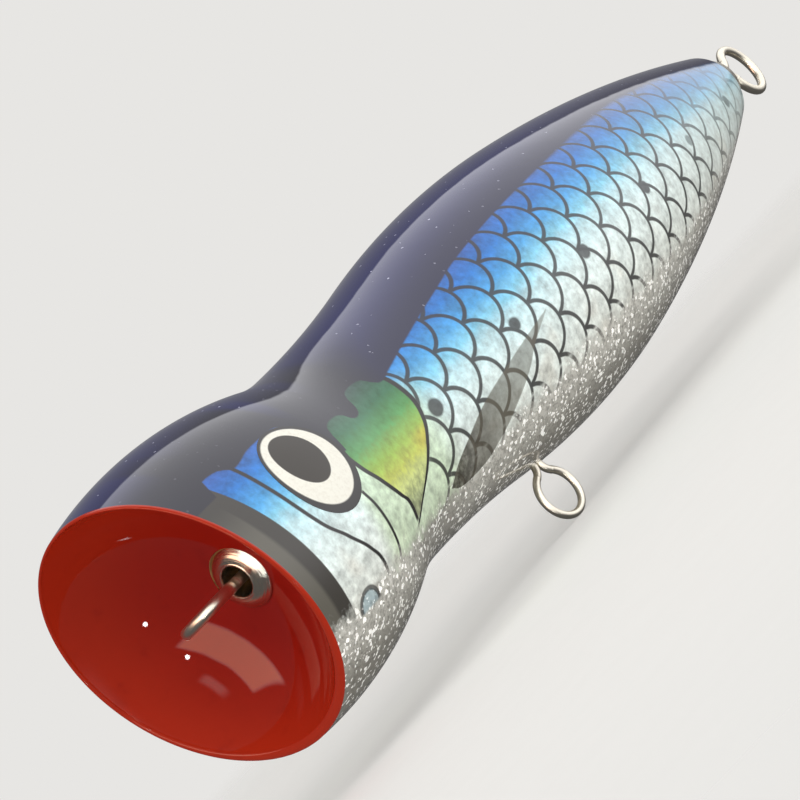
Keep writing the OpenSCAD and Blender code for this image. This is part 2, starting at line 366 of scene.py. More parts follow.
def ramp(tree, value, stops):
    """Colour from (value, colour) stops."""
    lo, hi = stops[0][0], stops[-1][0]
    node = tree.nodes.new("ShaderNodeValToRGB")
    plug(tree, node.inputs[0], (value - lo) / (hi - lo))
    line = node.color_ramp.elements
    while len(line) < len(stops):
        line.new(0.5)
    for place, (at, colour) in zip(line, stops):
        place.position = (at - lo) / (hi - lo)
        place.color = colour
    return node.outputs[0]


def noise(tree, where, size, detail=3, rough=0.6):
    """Cloudy noise from 0 to 1 with lumps about size mm across."""
    node = tree.nodes.new("ShaderNodeTexNoise")
    node.inputs["Scale"].default_value = 1 / size
    node.inputs["Detail"].default_value = detail
    node.inputs["Roughness"].default_value = rough
    tree.links.new(where, node.inputs["Vector"])
    return Num(tree, node.outputs[0])


def flakes(tree, where, size):
    """A random value for each of the small cells that stand for glitter flakes, and a random colour."""
    node = tree.nodes.new("ShaderNodeTexVoronoi")
    node.inputs["Scale"].default_value = 1 / size
    tree.links.new(where, node.inputs["Vector"])
    split = tree.nodes.new("ShaderNodeSeparateColor")
    tree.links.new(node.outputs["Color"], split.inputs[0])
    return Num(tree, split.outputs[0]), node.outputs["Color"]


class Coat:
    """A material with a clear coat, and the coordinates its print is laid out in: mm along the body from
    the rim centre, and mm round it from the side line towards the back."""

    def __init__(self, name, roughness=0.4, metallic=0.0, coat=1.0, wavy=0.0):
        self.material = bpy.data.materials.new(name)
        self.material.use_nodes = True
        self.tree = self.material.node_tree
        self.shader = self.tree.nodes["Principled BSDF"]
        self.set(Roughness=roughness, Metallic=metallic)
        self.shader.inputs["Coat Weight"].default_value = coat
        self.shader.inputs["Specular IOR Level"].default_value = 0.5 * (1 - coat)
        self.shader.inputs["Coat Roughness"].default_value = 0.025
        self.shader.inputs["Coat IOR"].default_value = 1.5
        place = self.tree.nodes.new("ShaderNodeTexCoord").outputs["Object"]
        scale = self.tree.nodes.new("ShaderNodeVectorMath")
        scale.operation = "SCALE"
        scale.inputs["Scale"].default_value = 1 / MM
        self.tree.links.new(place, scale.inputs[0])
        self.where = scale.outputs[0]
        split = self.tree.nodes.new("ShaderNodeSeparateXYZ")
        self.tree.links.new(self.where, split.inputs[0])
        x, y, z = [Num(self.tree, s) for s in split.outputs]
        self.along = y - RIM_Y
        self.radius = length(x, z)
        self.around = z.math("ARCTAN2", x.math("ABSOLUTE")) * self.radius
        if wavy:
            self.waves(wavy)

    def set(self, **values):
        for name, value in values.items():
            plug(self.tree, self.shader.inputs[name.replace("_", " ")], value)

    def waves(self, height):
        """The slight unevenness of a dipped coat, in mm."""
        bump = self.tree.nodes.new("ShaderNodeBump")
        bump.inputs["Distance"].default_value = height * MM
        plug(self.tree, bump.inputs["Height"], noise(self.tree, self.where, 9, 2, 0.45))
        self.tree.links.new(bump.outputs[0], self.shader.inputs["Coat Normal"])

    def mix(self, a, b, amount, blend="MIX"):
        return mix(self.tree, a, b, amount, blend)

    def noise(self, size, detail=3, rough=0.6):
        return noise(self.tree, self.where, size, detail, rough)


# ---- Print on the skin ----

INK = srgb(52, 50, 50)
BACK = srgb(44, 46, 94)
BACK_GREY = srgb(52, 51, 55)
BACK_SPECK = srgb(186, 186, 214)
BAND_PALE = srgb(102, 99, 91)
BAND_DARK = srgb(70, 67, 63)
FIN_GREY = srgb(112, 107, 95)
FIN_ROOT = srgb(46, 40, 34)
HOOK_BLUE = srgb(168, 196, 206)
WARM_SILVER = srgb(214, 202, 186)
CHEEK_GREEN = srgb(206, 228, 190)
GILL_AMBER = srgb(216, 176, 62)
TAIL_GREY = srgb(104, 122, 140)
TAIL_WHITE = srgb(235, 238, 232)

# Colours of the foil and of the gill patch, by height round the body
FOIL_COLOURS = [
    (-14, srgb(228, 231, 224)), (-9, srgb(232, 240, 236)), (-4, srgb(224, 241, 241)),
    (-0.5, srgb(196, 230, 238)), (1.8, srgb(134, 204, 232)), (4.2, srgb(76, 160, 220)),
    (7.5, srgb(38, 116, 196)), (10.5, srgb(48, 96, 176)),
]
GILL_COLOURS = [
    (-11.5, srgb(120, 124, 106)), (-9, srgb(176, 186, 142)), (-7, srgb(216, 226, 152)),
    (-5, srgb(198, 206, 104)), (-2.8, srgb(160, 192, 86)), (0, srgb(92, 156, 88)),
    (3, srgb(60, 114, 82)), (6.5, srgb(58, 84, 76)),
]

# The belly's glitter: grains lit on the flank, in painted shade under the belly and the waist, and dark at
# random, the white and glow of painted glints on some flakes, the size of a flake, and the height of its
# upper edge
GRAIN_PAINTED_LIT = srgb(230, 228, 220)
GRAIN_PAINTED_SHADE = srgb(158, 155, 146)
GRAIN_DARK = srgb(112, 110, 104)
PAINTED_GLINT_WHITE = srgb(255, 254, 250)
PAINTED_GLINT_GLOW = (1.0, 0.98, 0.92, 1)
FLAKE = 0.5
GLITTER_TOP = -13.4

# Lower edge of the back paint, as distance along the body and height round it: two lobes ahead of the eye,
# the two lobes of the gill patch, and the line above the scales
BACK_EDGE = [
    (0, 8.4), (2.4, 8.4), (3.7, 11.2), (5.4, 11), (7, 9.9), (7.7, 9.4), (12.2, 10), (17, 9.8),
    (19.6, 4.5), (21.6, 1.2), (22.3, 3.6), (24.9, 5.3), (27.6, 4.8), (29.6, 3.2), (31.8, 5.4),
    (34.3, 6.8), (37, 6.2), (38.8, 4.2), (40.4, 4.5), (48, 6), (58, 7.8), (67, 9.2), (80, 9.9),
    (108, 10), (128, 8.2), (146, 4.3), (BODY_LEN, 2.2),
]

# Lines drawn on the head, as height round the body and distance along it, from the bottom up
JAW_LINE = [(-14, 14.9), (-11.6, 14.7), (-9.3, 13.6), (-6, 11.2), (-1.6, 8.6), (4, 7.6), (9.8, 7.4)]
CHEEK_LINE = [(-14, 18.4), (-10.4, 19.1), (-7.1, 18.9), (-3.6, 18.1)]
GILL_LOW = -12.2
GILL_FRONT = [(GILL_LOW, 26.1), (-9.1, 25.9), (-7.4, 24.7), (-4.3, 22.7), (-0.4, 20.8), (2, 20.6)]
GILL_BACK = [
    (GILL_LOW, 25.9), (-11, 28.2), (-9.1, 31.8), (-7.4, 34.4), (-5.2, 36.8), (-2.7, 38.7), (0.7, 39.6),
    (4, 39.4), (7, 37.4),
]

# Upper and lower edge of the side fin, as distance along the body and height round it
FIN_ROOT_Y = 37.6
FIN_TIP_Y = 67.8
FIN_TOP = [
    (FIN_ROOT_Y, -12.8), (40.4, -10.7), (44.3, -9.1), (49.3, -7.4), (57.1, -6), (62.7, -5.2),
    (FIN_TIP_Y, -4.6),
]
FIN_LOW = [
    (FIN_ROOT_Y, -12.8), (40.4, -14.1), (44.9, -14.4), (50.4, -13.2), (56, -10.8), (59.9, -8.8),
    (62.7, -6.9), (FIN_TIP_Y, -4.7),
]

# Scales: spacing along the body, spacing of the rows, the first scale's tip, its row and its radius. In the
# middle of the body they are moved forward, and behind it their rows rise towards the side line
SCALE_STEP = 7.236
SCALE_ROW = 4.25
SCALE_TIP = 48.2
SCALE_LINE = 2.0
SCALE_R = (SCALE_ROW**2 + (SCALE_STEP / 2) ** 2) / SCALE_STEP
SHIFT_START = 55
SHIFT_LENGTH = 75
SHIFT = 1.25
RISE_START = 100
RISE = 0.0024

# The hooked mark on the cheek: its place along and round the body and its radius
CHEEK_HOOK = (9.6, -14.6, 2)

# Spots of the flank: place along the body and radius, and the height that they share
SPOTS = [(41.6, 1.35), (61.7, 1.05), (80.8, 1.2), (102.3, 1.15), (122.4, 1.0), (144, 1.1)]
SPOT_LINE = -3


def stroke(paint, points, width, low, high):
    """How much of a drawn line covers a place: the line runs along the points between two heights."""
    off = (paint.along - paint.around.curve(points)).math("ABSOLUTE")
    ends = paint.around.step(low - 0.5, low + 0.3) * paint.around.step(high + 0.3, high - 0.3)
    return off.step(width / 2 + 0.12, width / 2 - 0.12) * ends


def scale_distance(paint):
    """Distance to the nearest scale's edge. The scales are half circles with their tips towards the tail,
    in rows half a step apart."""
    middle = ((paint.along - SHIFT_START) / SHIFT_LENGTH).math("MAXIMUM", 0).math("MINIMUM", 1)
    u = paint.along + (middle * math.pi).math("SINE") * SHIFT - (SCALE_TIP - SCALE_R)
    rise = (paint.along - RISE_START).math("MAXIMUM", 0)
    v = paint.around - rise * rise * RISE - SCALE_LINE
    nearest = None
    end = SCALE_R - SCALE_STEP / 2
    for row in (0, 1):
        across = v - row * SCALE_ROW
        across = across - (across / (2 * SCALE_ROW)).math("ROUND") * (2 * SCALE_ROW)
        shift = u - row * SCALE_STEP / 2
        reach = (SCALE_R**2 - across * across).math("SQRT")
        behind = shift - ((shift - reach) / SCALE_STEP).math("ROUND") * SCALE_STEP
        off = largest((length(behind, across) - SCALE_R).math("ABSOLUTE"), end - behind)
        nearest = off if nearest is None else smallest(nearest, off)
    return nearest


def glitter(paint, base):
    """Metal flakes under the coat: grains of uneven brightness, and a painted glint, white, on some of
    them. Gives the colour and how much of each place carries a painted glint."""
    coarse, _ = flakes(paint.tree, paint.where, FLAKE)
    fine, _ = flakes(paint.tree, paint.where, FLAKE * 0.6)
    grains = paint.mix(base, GRAIN_DARK, (fine + coarse * 0.5).step(0.9, 0.1) * 0.45)
    # Painted glints: some flakes are made white at random
    painted_glint = largest(coarse.step(0.9, 0.92), fine.step(0.93, 0.95))
    return paint.mix(grains, PAINTED_GLINT_WHITE, painted_glint), painted_glint


def tilted(paint, amount):
    """The surface's direction, tilted at random from flake to flake."""
    tree = paint.tree

    def vector(operation, *values):
        node = tree.nodes.new("ShaderNodeVectorMath")
        node.operation = operation
        for slot, value in zip(node.inputs, values):
            plug(tree, slot, value)
        return node

    _, chance = flakes(tree, paint.where, FLAKE)
    centred = vector("SUBTRACT", chance, (0.5, 0.5, 0.5))
    scaled = vector("SCALE", centred.outputs[0])
    plug(tree, scaled.inputs["Scale"], amount)
    surface = tree.nodes.new("ShaderNodeNewGeometry").outputs["Normal"]
    total = vector("ADD", surface, scaled.outputs[0])
    return vector("NORMALIZE", total.outputs[0]).outputs[0]


def foil_print(paint):
    """Colour of the foil's print: its blue side, the cheek and the gill patch, all of it mottled."""
    s, y = paint.around, paint.along
    cloud = paint.noise(3.2, 4, 0.65)
    speck = paint.noise(1.1, 3, 0.6)
    tail = y.step(108, 152)
    level = s + (cloud - 0.5) * 2.4
    height = level + tail * 2.4 + y.step(76, 66) * y.step(34, 42) * 1.4
    base = ramp(paint.tree, height, FOIL_COLOURS)
    warm = paint.noise(7, 2, 0.5)
    base = paint.mix(base, WARM_SILVER, warm.step(0.54, 0.74) * s.step(-3, -9) * 0.35)
    cheek = y.step(15, 19) * y.step(44, 37) * s.step(5, 1)
    base = paint.mix(base, CHEEK_GREEN, cheek * 0.7)
    patch = ramp(paint.tree, level + (speck - 0.5) * 2.6, GILL_COLOURS)
    amber = y.step(33, 37) * s.step(-6.5, -4.5) * s.step(-2.5, -4)
    patch = paint.mix(patch, GILL_AMBER, amber * 0.4)
    inside = (y - s.curve(GILL_FRONT)).step(-0.2, 0.2) * (s.curve(GILL_BACK) - y).step(-0.2, 0.2)
    inside = inside * s.step(GILL_LOW, -11)
    base = paint.mix(base, patch, inside)
    mottle = (speck - 0.5) * 1.2 + (cloud - 0.5) * 1.1 + 1
    shade = paint.tree.nodes.new("ShaderNodeCombineColor")
    for slot in shade.inputs:
        plug(paint.tree, slot, mottle)
    base = paint.mix(base, shade.outputs[0], 1.0, "MULTIPLY")
    # Towards the tail the print fades to grey above the side line and to white below it
    faded = paint.mix(TAIL_GREY, TAIL_WHITE, s.step(0.5, -2.5))
    return paint.mix(base, faded, y.step(95, 140) * 0.36)


def ink_on_foil(paint):
    """How much of the dark line work covers a place."""
    s, y = paint.around, paint.along
    lines = stroke(paint, JAW_LINE, 0.62, -13.5, 9.8)
    lines = largest(lines, stroke(paint, CHEEK_LINE, 0.55, -13.5, -3.4))
    lines = largest(lines, stroke(paint, GILL_FRONT, 0.85, -11.6, 1))
    lines = largest(lines, stroke(paint, GILL_BACK, 0.8, GILL_LOW, 7))
    scales = scale_distance(paint).step(0.42, 0.2)
    behind_gill = (y - s.curve(GILL_BACK)).step(-0.1, 0.1)
    below_gill = s.step(-11.6, -12.6) * y.step(30, 33)
    scales = scales * largest(behind_gill * s.step(-12.4, -11.6), below_gill) * y.step(33, 36)
    scales = scales * (y.step(112, 150) * -0.55 + 1)
    lines = largest(lines, scales * 0.93)
    for at, size in SPOTS:
        off = length(y - at, (s - SPOT_LINE) * 1.05)
        strength = 0.9 if at < 110 else 0.6
        lines = largest(lines, off.step(size + 0.2, size - 0.25) * strength)
    return lines


def cheek_hook(paint):
    """The small hooked mark low behind the lip: its line, and the pale patch inside it."""
    at_y, at_s, size = CHEEK_HOOK
    off = length(paint.along - at_y, paint.around - at_s)
    upper = paint.around.step(at_s - 0.6, at_s)
    return (off - size).math("ABSOLUTE").step(0.45, 0.2) * upper, off.step(size, size - 0.2) * upper


def fin(paint):
    """How much of the drawn side fin covers a place."""
    s, y = paint.around, paint.along
    inside = (y.curve(FIN_TOP) - s).step(-0.1, 0.15) * (s - y.curve(FIN_LOW)).step(-0.1, 0.15)
    return inside * y.step(FIN_ROOT_Y - 0.3, FIN_ROOT_Y + 0.2) * y.step(FIN_TIP_Y + 0.1, FIN_TIP_Y - 0.2)


def belly_glitter(paint, in_fin):
    """Colour of the belly's glitter, with painted shade, how much of it covers a place and how much of that
    carries a painted glint.
    """
    s, y = paint.around, paint.along
    drift = (paint.noise(2.5, 3) - 0.5) * 5 + (paint.noise(0.6, 2) - 0.5) * 3
    edge = (y - 108).math("MAXIMUM", 0) * 0.11 + GLITTER_TOP
    cover = (s - edge + drift).step(1.8, -1.8) * (1 - in_fin)
    # Painted shade: the glitter is darker underneath and in the hollow of the waist, with fewer painted
    # glints there
    painted_lighting = (s - y.step(95, 130) * 5).step(-23, -14) * (y.step(20, 28) * y.step(44, 36) * -0.6 + 1)
    silver, painted_glint = glitter(paint, paint.mix(GRAIN_PAINTED_SHADE, GRAIN_PAINTED_LIT, painted_lighting))
    return silver, cover, painted_glint * (painted_lighting * 0.5 + 0.5)


def lip_band(paint):
    """Colour of the bare band behind the lip, and how much of it covers a place."""
    s = paint.around
    behind_lip = paint.along + (s / paint.radius).math("SINE") * paint.radius * math.tan(LEAN)
    colour = paint.mix(BAND_PALE, BAND_DARK, largest(behind_lip.step(1.6, 2.4), s.step(0, 8)))
    return colour, behind_lip.step(LIP_BAND + 0.1, LIP_BAND - 0.1)


def back_paint(paint):
    """Colour of the dark back, which is greyer at its edge and on the head, and how much of it covers a
    place. Its edge softens towards the tail."""
    y = paint.along
    above = paint.around - y.curve(BACK_EDGE)
    specks, _ = flakes(paint.tree, paint.where, 0.26)
    colour = paint.mix(BACK, BACK_SPECK, specks.step(0.996, 0.999))
    on_head = y.step(50, 34) * above.step(17, 6) * 0.92
    colour = paint.mix(colour, BACK_GREY, largest(above.step(9, 1) * 0.6, on_head))
    soft = y.step(70, 150) * 1.6 + 0.35
    return colour, (above / soft).step(-0.5, 0.5)


def body_print(paint):
    """Colour of everything painted or printed on the skin, how much of it is glitter and how much of that
    carries a painted glint."""
    y = paint.along
    colour = foil_print(paint)
    colour = paint.mix(colour, INK, ink_on_foil(paint))
    in_fin = fin(paint)
    colour = paint.mix(colour, FIN_GREY, in_fin * (y.step(38, 66) * -0.2 + 0.82))
    root = in_fin * y.step(54, 38) * (paint.noise(1.2, 3) * 1.4).step(0.35, 0.9)
    colour = paint.mix(colour, FIN_ROOT, root * 0.8)
    silver, sparkle, painted_glint = belly_glitter(paint, in_fin)
    colour = paint.mix(colour, silver, sparkle)
    hook, inside_hook = cheek_hook(paint)
    colour = paint.mix(colour, HOOK_BLUE, inside_hook * 0.7)
    colour = paint.mix(colour, INK, hook * 0.8)
    strip, band = lip_band(paint)
    colour = paint.mix(colour, strip, band * (1 - sparkle))
    back, covered = back_paint(paint)
    colour = paint.mix(colour, back, covered)
    return colour, sparkle, painted_glint


# ---- Materials ----

# Of the painted pieces
EYE_WHITE = srgb(242, 240, 229)
EYE_CREAM = srgb(230, 226, 214)
PUPIL_BROWN = srgb(58, 53, 46)
CUP_RED = srgb(178, 44, 22)
CUP_DEEP = srgb(160, 28, 18)
CUP_DARK = srgb(120, 20, 14)
LIP_RED = srgb(176, 48, 26)

# Of the metal and the wood, each between two tones
STEEL = (srgb(238, 231, 214), srgb(214, 207, 190))
LEAD = (srgb(120, 124, 132), srgb(88, 92, 100))
WOOD = (srgb(214, 182, 132), srgb(184, 146, 96))
TURNING_PITCH = 0.32
TOOL_MARK = 0.003


def skin_material():
    paint = Coat("skin_print", roughness=0.42, wavy=0.05)
    colour, sparkle, painted_glint = body_print(paint)
    paint.set(Base_Color=colour, Metallic=sparkle * 0.2, Roughness=sparkle * -0.12 + 0.42)
    # Painted glints: the flakes with a painted glint glow
    paint.set(Emission_Color=PAINTED_GLINT_GLOW, Emission_Strength=sparkle * painted_glint * 0.5)
    paint.tree.links.new(tilted(paint, sparkle * 0.8), paint.shader.inputs["Normal"])
    return paint.material


def eye_material():
    paint = Coat("eye_print", roughness=0.35)
    s, y = paint.around, paint.along

    def inside(shape):
        at_y, at_s, half_y, half_s = shape
        return length((y - at_y) / half_y, (s - at_s) / half_s).step(1.02, 0.98)

    white = paint.mix(EYE_WHITE, EYE_CREAM, paint.noise(0.5, 3).step(0.4, 0.8))
    colour = paint.mix(INK, white, inside(WHITE))
    colour = paint.mix(colour, PUPIL_BROWN, inside(PUPIL))
    paint.set(Base_Color=colour)
    return paint.material


def mouth_material():
    paint = Coat("mouth_paint", roughness=0.38, wavy=0.06)
    colour = paint.mix(CUP_RED, CUP_DEEP, paint.along.step(2, 13))
    lip = paint.radius.step(CUP_R - 0.4, CUP_R + 0.3)
    colour = paint.mix(colour, LIP_RED, lip * 0.6)
    colour = paint.mix(colour, CUP_DARK, paint.noise(4, 3).step(0.55, 0.8) * 0.25)
    paint.set(Base_Color=colour)
    return paint.material


def steel_material(name, roughness, turned=False):
    """Bare steel, either drawn with fine streaks or turned with rings left by the tool."""
    paint = Coat(name, roughness=roughness, metallic=1.0, coat=0.0)
    streak = paint.noise(0.35, 4)
    marks = (paint.radius * 2 * math.pi / TURNING_PITCH).math("SINE") if turned else streak
    paint.set(Base_Color=paint.mix(*STEEL, streak), Roughness=streak * 0.12 + roughness - 0.06)
    bump = paint.tree.nodes.new("ShaderNodeBump")
    bump.inputs["Distance"].default_value = TOOL_MARK * MM
    plug(paint.tree, bump.inputs["Height"], marks)
    paint.tree.links.new(bump.outputs[0], paint.shader.inputs["Normal"])
    return paint.material


def wood_material():
    paint = Coat("turned_wood", roughness=0.6, coat=0.0)
    rings = (paint.noise(2.2, 2) * 6 + paint.radius * 0.8).math("SINE").step(-1, 1)
    paint.set(Base_Color=paint.mix(*WOOD, rings))
    return paint.material


def lead_material():
    paint = Coat("cast_lead", roughness=0.55, metallic=0.9, coat=0.0)
    paint.set(Base_Color=paint.mix(*LEAD, paint.noise(1.5, 4)))
    return paint.material


# ---- Pieces ----


def build_skin(material):
    """Back paint, belly paint and the two foils: one smooth skin, cut along the foils' edges."""
    d = steps((0, 10), (LIP_BAND, 300), (FOIL_END, 3), (BODY_LEN, 0))
    right_top, right_low, whole_turn = 180 - FOIL_TOP, 180 - FOIL_LOW, 360 + FOIL_LOW
    degrees = steps((FOIL_LOW, 76), (FOIL_TOP, 96), (right_top, 76), (right_low, 56), (whole_turn, 0))
    d, phi = np.meshgrid(d, np.radians(degrees), indexing="ij")
    y = behind_rim(d, phi)
    top, normal = skin(y, phi)
    mid_d = (d[1:, 1:] + d[:-1, :-1]) / 2
    mid = np.degrees((phi[1:, 1:] + phi[:-1, :-1]) / 2)
    foiled = (mid_d > LIP_BAND) & (mid_d < FOIL_END)
    left = foiled & (mid < FOIL_TOP)
    right = foiled & (mid > right_top) & (mid < right_low)
    belly = mid > right_low
    back = ~(left | right | belly)
    film, _ = skin(y, phi, COAT - PAINT_FILM)
    foil, _ = skin(y, phi, COAT - FOIL_THICK)
    closed_sheet("back_paint", top, film, normal, back, material)
    closed_sheet("belly_paint", top, film, normal, belly, material)
    for side, cells in (("left", left), ("right", right)):
        piece = closed_sheet(f"scale_foil_{side}", top, foil, normal, cells, material)
        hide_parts(f"foil_{side}")


def build_mouth(material):
    """Red paint from the outside of the lip over it and down the cup to the nose cone."""
    phi = np.radians(np.linspace(0, 360, 241))
    # Radius of the ball that the cup is cut from, and how far its centre is ahead of the rim
    ball = (CUP_DEPTH**2 + CUP_R**2) / (2 * CUP_DEPTH)
    out = ball - CUP_DEPTH
    centre = np.array([0, -out * math.cos(LEAN), -out * math.sin(LEAN)])

    def cup(rho, lift):
        """Points of the cup at a radius from the axis."""
        x, z = rho * np.cos(phi), rho * np.sin(phi)
        y = centre[1] + np.sqrt((ball - lift) ** 2 - x**2 - (z - centre[2]) ** 2)
        return np.stack([x, y, z], -1)

    def cup_edge(lift):
        """Radius from the axis where the cup meets the plane of the rim."""
        flat = math.sqrt((ball - lift) ** 2 - out**2)
        return flat / np.sqrt(np.cos(phi) ** 2 + (np.sin(phi) / math.cos(LEAN)) ** 2)

    outer, _ = skin(rim_y(phi), phi)
    inner = cup(cup_edge(COAT), COAT)
    ahead = np.array([0, -math.cos(LEAN), -math.sin(LEAN)])
    rows = []
    for turn in np.linspace(0, math.pi, 15):
        across = (outer + inner) / 2 + (outer - inner) / 2 * math.cos(turn)
        rows.append(across + ahead * LIP_ROLL * math.sin(turn))
    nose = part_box("nose_ferrule")[1].z / MM + 0.02
    # The rows lie closer together near the lip
    for share in np.linspace(0, 1, 61)[1:] ** 1.3:
        rows.append(cup(cup_edge(COAT) * (1 - share) + nose * share, COAT))
    top = np.stack(rows)
    inwards = np.gradient(top, axis=0)
    round_lip = np.gradient(top, axis=1)
    round_lip[:, 0] = round_lip[:, -1] = (top[:, 1] - top[:, -2]) / 2
    normal = np.cross(round_lip, inwards)
    normal /= np.linalg.norm(normal, axis=-1, keepdims=True)
    cells = np.ones((top.shape[0] - 1, top.shape[1] - 1), bool)
    closed_sheet("mouth_paint", top, top - PAINT_FILM * normal, normal, cells, material)


def build_eye(side, material):
    """A printed disc with a shallow dome and a rounded edge, wrapped on the head."""
    at_y, at_s, half_y, half_s = EYE
    # A square grid, pulled in to a round one
    u, v = np.meshgrid(np.linspace(-1, 1, 49), np.linspace(-1, 1, 49), indexing="ij")
    u, v = u * np.sqrt(1 - v**2 / 2), v * np.sqrt(1 - u**2 / 2)
    share = np.hypot(u, v)
    y = at_y + half_y * u
    s = at_s + half_s * v
    phi = s / outline(y)[0]
    if side == "right":
        phi = math.pi - phi
    low, normal = skin(y, phi, 0.0)
    top = low + (COAT + EYE_DOME * np.sqrt(1 - share**4 * 0.96))[..., None] * normal
    cells = np.ones((top.shape[0] - 1, top.shape[1] - 1), bool)
    piece = closed_sheet(f"printed_eye_{side}", top, low, normal, cells, material)
    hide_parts(f"eye_{side}")


def build_nose_cone(material):
    """The steel cone round the line tie: a turned face, its rounded edge and a short tube into the wood."""
    low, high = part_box("nose_ferrule")
    face, back, outer = low.y / MM - RIM_Y, high.y / MM - RIM_Y, high.z / MM
    profile = [(face + NOSE_LIP + 0.05, NOSE_BORE)]
    profile += arc((face + NOSE_LIP, NOSE_BORE + NOSE_LIP), NOSE_LIP, 250, 120, 6)
    # The face swells a little between its bore and its edge, with grooves left by the tool
    inner = NOSE_BORE + 2 * NOSE_LIP
    for share in np.linspace(0, 1, 24):
        groove = NOSE_GROOVE * math.cos(share * 46)
        swell = NOSE_SWELL * math.sin(share * math.pi)
        place = face + NOSE_LIP / 2 + NOSE_RISE * share - swell + groove
        profile.append((place, inner + (outer - NOSE_EDGE - inner) * share))
    edge = face + NOSE_LIP * 1.5 + NOSE_RISE
    profile += arc((edge, outer - NOSE_EDGE), NOSE_EDGE, 130, 90, 4)
    tube = NOSE_BORE + NOSE_WALL
    profile += [(face + NOSE_FLANGE, outer), (face + NOSE_FLANGE, tube), (back, tube), (back, NOSE_BORE)]
    piece = lathe("nose_cone", profile, material)
    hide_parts("nose_ferrule")


def dress_cad(materials):
    """Gives the CAD pieces that still show their materials."""
    for node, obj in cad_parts.items():
        if obj.hide_render:
            continue
        obj.data.materials.clear()
        obj.data.materials.append(materials[node])


# ---- Floor, light and camera, in metres ----

LURE_MIDDLE = Vector((0, 0.07, 0))
FLOOR_R = 0.62
FLOOR_RINGS = 25
FLOOR_SIDES = 96
FLOOR_FADE = (0.34, 0.1)
FLOOR_COLOUR = (0.56, 0.555, 0.54, 1)
FLOOR_GRAIN = (0.53, 0.525, 0.51, 1)
BACKDROP = (0.80, 0.79, 0.77, 1)

# What the coat mirrors, as directions in the row's frame: the edge of the bright side of the room, and two
# small lamps. The window is seen in the cup
ROOM_EDGE = (0.906, 0.04, 0.42)
LAMPS = [(0.41, -0.75, -0.52), (0.46, -0.89, 0.07)]
ROOM_COLOUR = (0.97, 0.97, 1.0, 1)
WINDOW_COLOUR = (1.0, 0.6, 0.44, 1)
ROOM_SHINE = 1.5
DIM_SHINE = 0.2
REST_SHINE = 0.1
LAMP_SHINE = 40
WINDOW_SHINE = 3.2

# Soft light from all round: where it is strongest, its least strength and how much it gains there
SOFT_FROM = (0.5, 0.1, 0.85)
SOFT_LEAST = 0.16
SOFT_GAIN = 0.38
SOFT_COLOUR = srgb(255, 253, 248)
LIGHT_DISTANCE = 0.8


def floor_material():
    """Matt and pale, and clear towards the rim of the floor."""
    material = bpy.data.materials.new("pale_floor")
    material.use_nodes = True
    tree = material.node_tree
    shader = tree.nodes["Principled BSDF"]
    shader.inputs["Roughness"].default_value = 0.9
    shader.inputs["Emission Color"].default_value = BACKDROP
    shader.inputs["Emission Strength"].default_value = 0.4
    place = tree.nodes.new("ShaderNodeTexCoord").outputs["Object"]
    grain = noise(tree, place, 0.004, 3)
    tree.links.new(mix(tree, FLOOR_COLOUR, FLOOR_GRAIN, grain), shader.inputs["Base Color"])
    split = tree.nodes.new("ShaderNodeSeparateXYZ")
    tree.links.new(place, split.inputs[0])
    x, y, _ = [Num(tree, s) for s in split.outputs]
    plug(tree, shader.inputs["Alpha"], length(x, y - LURE_MIDDLE.y).step(*FLOOR_FADE))
    return material


